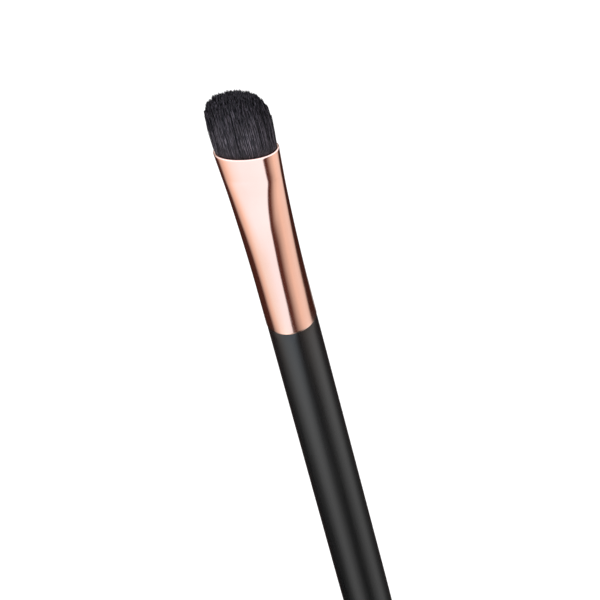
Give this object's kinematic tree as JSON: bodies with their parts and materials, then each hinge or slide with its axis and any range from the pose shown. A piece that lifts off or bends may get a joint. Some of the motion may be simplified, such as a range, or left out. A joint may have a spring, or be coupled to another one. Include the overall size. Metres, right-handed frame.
{
  "type": "eyeshadow brush",
  "caption": "Flat domed eyeshadow brush: dark filament tuft in a polished metal ferrule, pressed from round to oval, on a slim matte black tapered handle.",
  "frame": {"origin": "on the brush's axis, in the middle of the handle's straight barrel, where the fingers hold it", "axes": "+Z along the handle towards the tip of the tuft, X the wide way of the flattened ferrule mouth, -Y the flat front"},
  "size_m": [0.009, 0.0072, 0.1688],
  "materials": {
    "black_lacquered_wood": "satin",
    "rose_gold_ferrule": "polished",
    "dark_filaments": "satin",
    "cured_glue": "satin",
    "cured_resin": "gloss",
    "cotton_thread": "matte"
  },
  "bodies": {
    "grip": {"handle": "black_lacquered_wood", "tenon_glue": "cured_glue", "ferrule": "rose_gold_ferrule", "root_resin": "cured_resin", "root_binding": "cotton_thread", "filament_roots": "dark_filaments"},
    "tuft": {"filament_tuft": "dark_filaments"}
  },
  "joints": [
    {"name": "tuft_bend", "type": "hinge", "parent": "grip", "child": "tuft", "pos_m": [0, 0, 0.05626], "axis": [1, 0, 0], "range_deg": [-20, 20], "stiffness_Nm_per_rad": 0.008}
  ]
}
